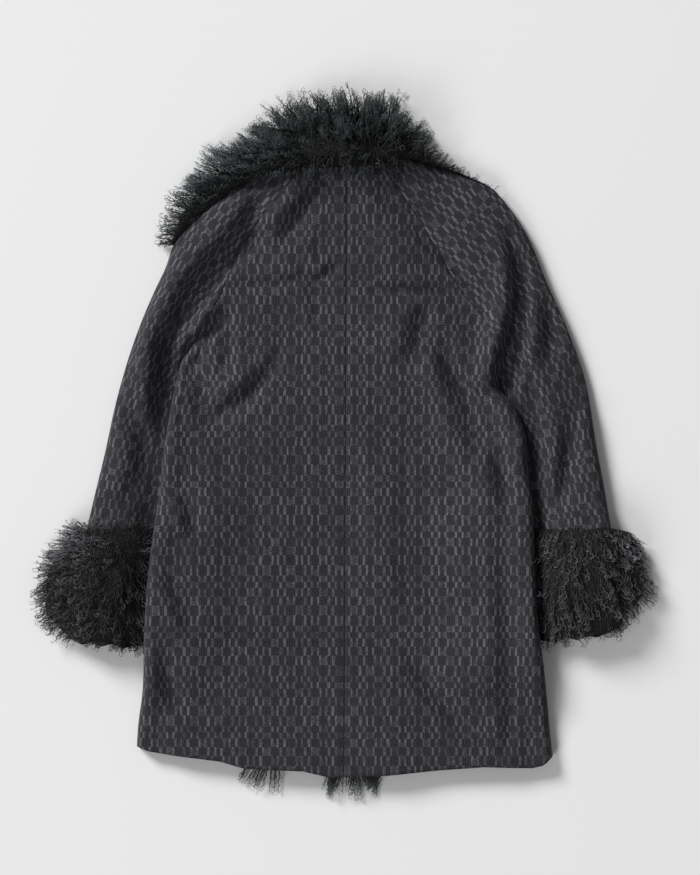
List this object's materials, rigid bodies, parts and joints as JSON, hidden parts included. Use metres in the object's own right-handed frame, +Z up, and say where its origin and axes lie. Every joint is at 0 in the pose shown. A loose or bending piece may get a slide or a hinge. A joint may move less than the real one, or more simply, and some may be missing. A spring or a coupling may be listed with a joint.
{
  "type": "wool coat with fur trim, laid flat",
  "caption": "Woven wool raglan coat laid face down, back up, with a curly long-hair fur collar, fur cuffs and fur bands down the front edges.",
  "frame": {"origin": "on the surface the coat lies on, below the middle of its outline", "axes": "+X across the coat to the right as seen from above, +Y along the centre-back seam toward the collar, +Z up out of the surface; the back faces +Z"},
  "size_m": [0.8738, 1.0067, 0.0615],
  "materials": {
    "cloth": "matte woven wool in charcoal, an uneven checkerboard weave of plain and ribbed cells",
    "collar_fur": "long curly fur, black with a teal cast, soft sheen on the locks",
    "cuff_fur": "long curly fur, black with a brown and plum cast, soft sheen on the locks",
    "band_fur": "long curly fur, black, soft sheen on the locks"
  },
  "bodies": {
    "root": {"back_left": "cloth", "back_right": "cloth", "front_left": "cloth", "front_right": "cloth", "sleeve_left_back": "cloth", "sleeve_left_front": "cloth", "sleeve_right_back": "cloth", "sleeve_right_front": "cloth", "collar": "collar_fur", "cuff_left": "cuff_fur", "cuff_right": "cuff_fur", "front_trim_left": "band_fur", "front_trim_right": "band_fur"}
  },
  "joints": []
}
